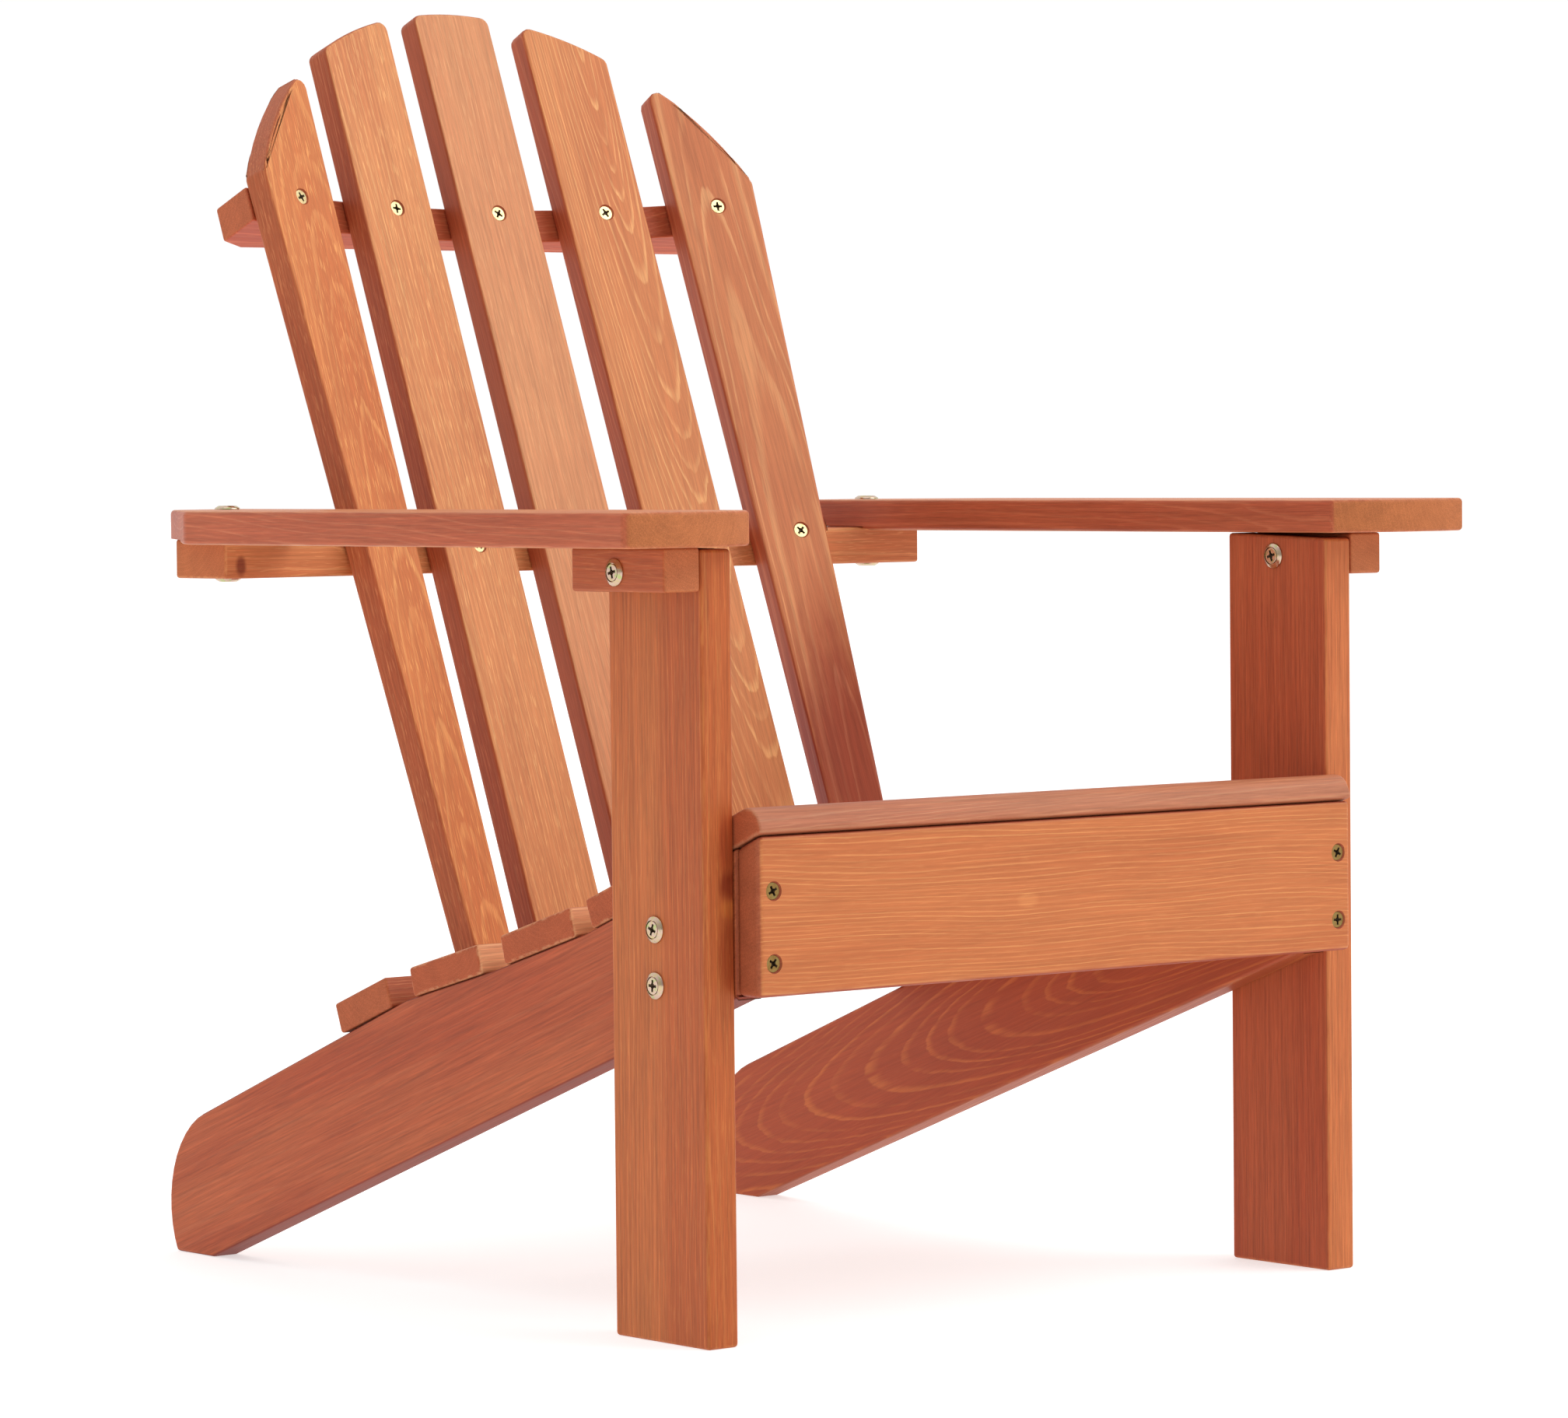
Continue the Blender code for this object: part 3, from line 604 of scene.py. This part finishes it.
def cross_recess(piece, top, reach, width, depth, dark):
    """Cuts a tapering cross into a head whose flat top is at the height top."""
    above = 0.2
    middle = (0, 0, (top + (above - depth) / 2) * MM)
    for turn in (0, pi / 2):
        bpy.ops.mesh.primitive_cube_add(size=1, location=middle)
        blade = bpy.context.active_object
        blade.dimensions = (2 * reach * MM, width * MM, (depth + above) * MM)
        blade.rotation_euler = (0, 0, turn)
        settle(blade)
        edit(blade)
        pick_faces(blade, lambda face: face.normal.z < -0.9)
        bpy.ops.transform.resize(value=(CROSS_TAPER, CROSS_TAPER, 1), center_override=(0, 0, 0))
        leave_edit()
        blade.data.materials.append(dark)
        cut_away(piece, blade)
        discard(blade)
    bpy.ops.mesh.primitive_cone_add(vertices=8, radius1=0.3 * MM, radius2=width * 1.15 * MM,
                                    depth=(depth + above) * MM, location=middle)
    pit = bpy.context.active_object
    pit.data.materials.append(dark)
    cut_away(piece, pit)
    discard(pit)


def screw_model(length, finish, dark):
    """A cross-recessed countersunk wood screw, its head's top at the origin."""
    rim = 0.35
    bpy.ops.mesh.primitive_cylinder_add(vertices=SCREW_SIDES, radius=SCREW_HEAD * MM, depth=rim * MM,
                                        location=(0, 0, -(rim / 2 + 0.12) * MM))
    screw = bpy.context.active_object
    screw.data.materials.append(finish)
    settle(screw)
    draw_out(screw, -1, [(-SCREW_CONE, SCREW_HEAD, SCREW_SHANK),
                         (4 + SCREW_CONE + SCREW_SUNK - length / MM, 1, 1),
                         (-3.3, SCREW_SHANK, 0.35)])
    draw_out(screw, 1, [(0.12, SCREW_HEAD, SCREW_HEAD - 0.25)])
    cross_recess(screw, 0, CROSS_REACH, CROSS_WIDTH, CROSS_DEPTH, dark)
    return screw


def flange_head(finish, dark):
    """A flanged bolt head standing on z = 0: a sloping flange, a lip, a groove and a crossed disc."""
    rim = 0.4
    bpy.ops.mesh.primitive_cylinder_add(vertices=BOLT_SIDES, radius=FLANGE * MM, depth=rim * MM,
                                        location=(0, 0, rim / 2 * MM))
    head = bpy.context.active_object
    head.data.materials.append(finish)
    settle(head)
    draw_out(head, 1, [(0.35, FLANGE, 6.35), (0.3, 6.35, 6.0), (0.75, 6.0, 4.75), (0.1, 4.75, 4.5),
                       (-0.9, 4.5, 4.3), (0.0, 4.3, 4.05), (0.75, 4.05, 3.95), (0.15, 3.95, 3.6)])
    top = rim + 0.35 + 0.3 + 0.75 + 0.1 - 0.9 + 0.75 + 0.15
    cross_recess(head, top, CROSS_REACH * 1.1, CROSS_WIDTH * 1.1, CROSS_DEPTH * 0.8, dark)
    return head


def placed_copy(model, name, matrix):
    """A copy with its own mesh, put in place and settled."""
    piece = model.copy()
    piece.data = model.data.copy()
    piece.name = name
    bpy.context.scene.collection.objects.link(piece)
    piece.matrix_world = matrix
    settle(piece)
    return piece


def make_screws(finish, shaded_finish, dark):
    models = {}
    for number, (node, lie) in enumerate(SCREWS.items()):
        size = round(lie.length / MM)
        if size not in models:
            models[size] = screw_model(lie.length, finish, dark)
            shade(models[size], radians(30))
        sunk = lie.matrix(number * 1.1) @ Matrix.Translation((0, 0, -SCREW_SUNK * MM))
        screw = placed_copy(models[size], f"{node}_crossed", sunk)
        # The apron's screws take a darker copy of the zinc: painted shade in the darker surroundings they
        # reflect.
        if "apron" in node:
            screw.material_slots[0].material = shaded_finish
        mount(screw, node)
    for model in models.values():
        discard(model)


def make_bolts(finish, dark):
    """Each bolt is a shank between two flanged heads, one at either side of the boards."""
    head = flange_head(finish, dark)
    shade(head, radians(30))
    for number, (node, lie) in enumerate(BOLTS.items()):
        # The solid's bolt is two head rises longer than the boards that it grips.
        grip = grip_of(node)
        rise = (lie.length - grip) / 2
        outer = lie.matrix(number * 1.3) @ Matrix.Translation((0, 0, FLANGE_LIFT * MM - rise))
        flip = Matrix.Translation((0, 0, -grip - 2 * FLANGE_LIFT * MM)) @ Matrix.Rotation(pi, 4, "X")
        bolt = placed_copy(head, f"{node}_flanged", outer)
        inner = placed_copy(head, "inner_head", outer @ flip)
        bpy.ops.mesh.primitive_cylinder_add(vertices=SCREW_SIDES, radius=BOLT_SHANK * MM, depth=grip)
        shank = bpy.context.active_object
        shank.data.materials.append(finish)
        shank.matrix_world = lie.matrix(0) @ Matrix.Translation((0, 0, -lie.length / 2))
        settle(shank)
        take(bolt)
        inner.select_set(True)
        shank.select_set(True)
        bpy.ops.object.join()
        mount(bolt, node)
    discard(head)


def grip_of(node):
    """The thickness of wood between a bolt's two heads, from the boards' own boxes."""
    side = node.split("_")[0]
    inner_of_rail = extent(f"{side}_side_rail", 0)
    leg = extent(f"{side}_front_leg", 0)
    if "leg_bolt" in node:
        reach = (*leg, *inner_of_rail)
    elif "bracket_bolt" in node:
        reach = (*leg, *extent(f"{side}_arm_bracket", 0))
    else:
        reach = (*extent(f"{side}_armrest", 2), *extent("arm_cross_rail", 2))
    return max(reach) - min(reach)


def extent(node, axis):
    low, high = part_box(node)
    return low[axis], high[axis]


# ---------------------------------------------------------------- the chair's boards

def back_directions():
    """The back's length and each slat's outward normal, read from its screws."""
    up = (SCREWS["slat_screw_top_3"].end - SCREWS["slat_screw_mid_3"].end).normalized()
    return up, {number: SCREWS[f"slat_screw_top_{number}"].out for number in range(1, 6)}


def make_boards():
    back_up, slat_out = back_directions()
    rail_out = SCREWS["right_lower_rail_screw"].out
    rail_along = ACROSS.cross(rail_out)

    slats = {
        1: Board(back_up, slat_out[1], pith=(-8, 46), lean=(0.01, 0.05), ring=2.1, pale=0.5, fleck=0.6,
                 face_colour=(0.60, 0.194, 0.061), edge_colour=(0.42, 0.10, 0.036)),
        2: Board(back_up, slat_out[2], pith=(34, 26), lean=(0.02, 0.02), ring=2.3, pale=0.42, fleck=0.45,
                 face_colour=(0.62, 0.236, 0.089), edge_colour=(0.40, 0.09, 0.034)),
        3: Board(back_up, slat_out[3], pith=(-90, 120), lean=(0, 0), ring=1.7, pale=0.14, fleck=0.16,
                 fibre=0.14, red=0.25, face_colour=(0.62, 0.258, 0.113), edge_colour=(0.40, 0.09, 0.034)),
        4: Board(back_up, slat_out[4], pith=(-15, 31), lean=(0.02, -0.075), ring=1.9, sway=4, pale=0.7,
                 fleck=0.12, fibre=0.12, face_colour=(0.60, 0.216, 0.079), edge_colour=(0.42, 0.09, 0.034)),
        # Slat 5's spot is a painted shadow of the far arm at its foot, with a deeper tone of the board.
        5: Board(back_up, slat_out[5], pith=(2, 25), lean=(0.01, 0.045), ring=4.2, sway=8, pale=0.6,
                 fleck=0.05, fibre=0.13, red=0.35, face_colour=(0.545, 0.187, 0.075),
                 edge_colour=(0.44, 0.10, 0.04),
                 spots=[((0, 0, -140), (40, 30, 95), (0.68, 0.42, 0.48))]),
    }
    for number, board in slats.items():
        make_board(f"back_slat_{number}", board, seed=10 + number * 3.7)

    leg_low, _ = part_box("right_front_leg")
    knot = [((35, 8, 29), (13, 9, 8), (0.56, 0.36, 0.36)), ((35, 7, 18), (9, 8, 5), (1.15, 1.3, 1.1)),
            ((35, 6, 48), (12, 7, 18), (0.80, 0.60, 0.60)), ((35, 6, -2), (12, 7, 22), (0.82, 0.66, 0.66))]
    make_board("right_front_leg",
               Board(UP, ACROSS, pith=(-70, 60), ring=2.0, pale=0.22, fleck=0.14, fibre=0.2, red=0.3,
                     redder=(-6, 12), face_colour=(0.51, 0.144, 0.041), edge_colour=(0.51, 0.148, 0.038),
                     spots=knot), 31)
    # The far leg's wide faces are darker: partly its own tone, partly painted shade inside the chair.
    make_board("left_front_leg",
               Board(UP, ACROSS, pith=(80, 40), ring=2.2, pale=0.18, fleck=0.08, fibre=0.2,
                     face_colour=(0.44, 0.093, 0.033), edge_colour=(0.53, 0.155, 0.048)), 36)
    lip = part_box("front_apron")[1].y / MM + 1

    def in_lip(point):
        return point.y < lip and point.z < leg_low.z / MM + 165

    # The side rails' narrow faces, mostly their undersides, are coloured dark as painted shade, and the far
    # rail's wide face is partly darkened as painted shade from the apron.
    make_board("right_side_rail",
               Board(rail_along, ACROSS, pith=(50, 45), lean=(0.03, 0), ring=4.0, pale=0.1, fleck=0.03,
                     fibre=0.2, red=0.75, face_colour=(0.46, 0.106, 0.038), edge_colour=(0.24, 0.036, 0.015)),
               41, kept_sharp=in_lip)
    make_board("left_side_rail",
               Board(rail_along, ACROSS, pith=(4, 24), lean=(0.01, -0.10), ring=2.6, sway=4, pale=0.75,
                     fleck=0.08, fibre=0.10, red=0.35, face_colour=(0.42, 0.082, 0.03),
                     edge_colour=(0.35, 0.075, 0.026), line_shade=(1.45, 2.0, 1.35)),
               47, kept_sharp=in_lip)
    make_board("front_apron",
               Board(ACROSS, REAR, pith=(-95, 45), lean=(0.02, 0), ring=2.0, sway=9, pale=0.62, fleck=0.12,
                     fibre=0.09, red=0.3, face_colour=(0.53, 0.16, 0.052), edge_colour=(0.34, 0.07, 0.032),
                     end_colour=(0.36, 0.085, 0.033),
                     spots=[((1, -8, -25), (4, 6, 7), (1.12, 1.25, 1.25))]), 53, width=3.0)
    for number in range(1, 5):
        out = SCREWS[f"right_seat_screw_{number}"].out
        # Slats 1 to 3 have lighter narrow faces: painted light on their front edges, which show in the gaps.
        tones = (dict(face_colour=(0.41, 0.13, 0.06), edge_colour=(0.45, 0.16, 0.08)) if number == 4 else
                 dict(face_colour=(0.52, 0.18, 0.082), edge_colour=(0.72, 0.31, 0.15)))
        make_board(f"seat_slat_{number}",
                   Board(ACROSS, out, pith=(20 - 14 * number, 38), lean=(0.02, 0.04), ring=2.4, pale=0.3,
                         fleck=0.1, fibre=0.15, end_colour=(0.42, 0.095, 0.036), **tones),
                   60 + number * 4.3)
    for number, side in enumerate(SIDES):
        arm = f"{side}_armrest"
        low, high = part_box(arm)
        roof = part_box("arm_cross_rail")[1].z / MM + 0.6
        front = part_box("arm_cross_rail")[0].y / MM - 9

        def in_housing(point, roof=roof, front=front):
            return point.z < roof and point.y > front

        make_board(arm, Board(REAR, UP, pith=(20 - 50 * number, 30), lean=(0.02, 0.08), ring=2.4, pale=0.34,
                              fleck=0.12, fibre=0.18, face_colour=(0.55, 0.20, 0.09),
                              edge_colour=(0.45, 0.105, 0.045), end_colour=(0.43, 0.135, 0.045)),
                   80 + number * 5.1, width=2.0, kept_sharp=in_housing)
        make_board(f"{side}_arm_bracket",
                   Board(REAR, ACROSS, pith=(30, 16), lean=(0.02, 0.05), ring=2.2, pale=0.3,
                         face_colour=(0.43, 0.10, 0.034), edge_colour=(0.44, 0.11, 0.038),
                         end_colour=(0.47, 0.145, 0.055)), 90 + number * 4.1, width=1.6)
    make_board("top_back_rail",
               Board(ACROSS, back_up, pith=(25, 30), ring=2.4, face_colour=(0.55, 0.105, 0.036),
                     edge_colour=(0.43, 0.09, 0.036), end_colour=(0.45, 0.115, 0.045)), 101, width=1.4)
    # Its spot darkens a small patch on the front of the rail, towards its end on the sitter's right.
    make_board("arm_cross_rail",
               Board(ACROSS, UP, pith=(20, 26), ring=2.8, pale=0.35, face_colour=(0.46, 0.12, 0.045),
                     edge_colour=(0.61, 0.215, 0.08), end_colour=(0.50, 0.145, 0.05),
                     spots=[((-22, -3.5, -219), (9, 5.5, 3.4), (0.45, 0.3, 0.3))]), 106, width=1.5)
    make_board("lower_back_rail",
               Board(ACROSS, rail_out, pith=(-26, 30), ring=2.5, face_colour=(0.45, 0.12, 0.05),
                     edge_colour=(0.42, 0.11, 0.045)), 111, width=1.4)


# ---------------------------------------------------------------- floor, light and camera

def make_floor():
    bpy.ops.mesh.primitive_plane_add(size=60, location=(0, 0, 0))
    floor = bpy.context.active_object
    floor.name = "floor"
    made, shader, start = new_material("pale_floor")
    place = start.add("ShaderNodeTexCoord", take_output=3)
    tint = start.add("ShaderNodeValToRGB", {0: place.noise((0.5, 0.5, 0.5))},
                     stops=[(0, (0.59, 0.585, 0.58)), (1, (0.61, 0.605, 0.60))])
    feed(made.node_tree, tint, shader, "Base Color")
    shader.inputs["Roughness"].default_value = 0.8
    shader.inputs["Emission Color"].default_value = (1, 1, 1, 1)
    shader.inputs["Emission Strength"].default_value = 0.6
    floor.data.materials.append(made)


def area_light(name, place, aim, size, power):
    light = bpy.data.lights.new(name, "AREA")
    light.shape = "DISK"
    light.size = size
    light.energy = power
    lamp = bpy.data.objects.new(name, light)
    lamp.location = place
    lamp.rotation_euler = (Vector(aim) - Vector(place)).to_track_quat("-Z", "Y").to_euler()
    bpy.context.scene.collection.objects.link(lamp)


def make_light():
    """A white room that is dimmer on the sitter's right, a big key in front and a softer one above."""
    world = bpy.data.worlds.new("studio")
    bpy.context.scene.world = world
    world.use_nodes = True
    start = Wire(world.node_tree)
    heading = start.add("ShaderNodeTexCoord", take_output=0)
    away = heading.measure("DOT_PRODUCT", (0.45, 0.85, 0.3))
    room = world.node_tree.nodes["Background"]
    room.inputs["Color"].default_value = (1, 1, 1, 1)
    world.node_tree.links.new((away.smooth(-0.9, 0.5) * 0.6 + 0.42).output, room.inputs["Strength"])
    aim = (0, -0.05, 0.3)
    area_light("key", (2.0, -2.6, 3.1), aim, 3.2, 84)
    area_light("overhead", (-0.6, -0.4, 3.6), aim, 2.6, 14)


def make_camera():
    """Low and to the sitter's right, almost level, with a long lens."""
    azimuth, elevation, roll = radians(-39.294), radians(2.485), radians(-0.557)
    side, depth = np.sin(azimuth), -np.cos(azimuth)
    back = Vector((side * np.cos(elevation), depth * np.cos(elevation), np.sin(elevation)))
    right = Vector((np.cos(azimuth), np.sin(azimuth), 0))
    up = back.cross(right)
    level = Matrix((right, up, back)).transposed().to_4x4()
    lens = bpy.data.cameras.new("camera")
    lens.sensor_width = 36
    lens.lens = 139.8
    lens.shift_x = 0.00098
    lens.shift_y = 0.00412
    camera = bpy.data.objects.new("camera", lens)
    leg_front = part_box("right_front_leg")[0].y
    stand = Matrix.Translation((-1.94375, leg_front - 2.17911, 0.41325))
    camera.matrix_world = stand @ level @ Matrix.Rotation(roll, 4, "Z")
    bpy.context.scene.collection.objects.link(camera)
    bpy.context.scene.camera = camera


make_camera()
make_floor()
make_light()
dark_recess = shaded_recess_metal()
yellow_zinc = plated_metal("yellow_zinc", (0.60, 0.44, 0.19), (0.66, 0.52, 0.28), (0.60, 0.58, 0.30), 0.36)
# A darker copy of the yellow zinc for the apron's screws: painted shade in their reflection.
zinc_painted_dark = plated_metal("zinc_painted_dark", (0.24, 0.14, 0.04), (0.29, 0.18, 0.06), (0.26, 0.20, 0.07), 0.34)
bright_zinc = plated_metal("bright_zinc", (0.58, 0.47, 0.24), (0.62, 0.43, 0.36), (0.44, 0.50, 0.20), 0.2)
make_boards()
make_screws(yellow_zinc, zinc_painted_dark, dark_recess)
make_bolts(bright_zinc, dark_recess)

bpy.context.scene.view_settings.view_transform = "Standard"
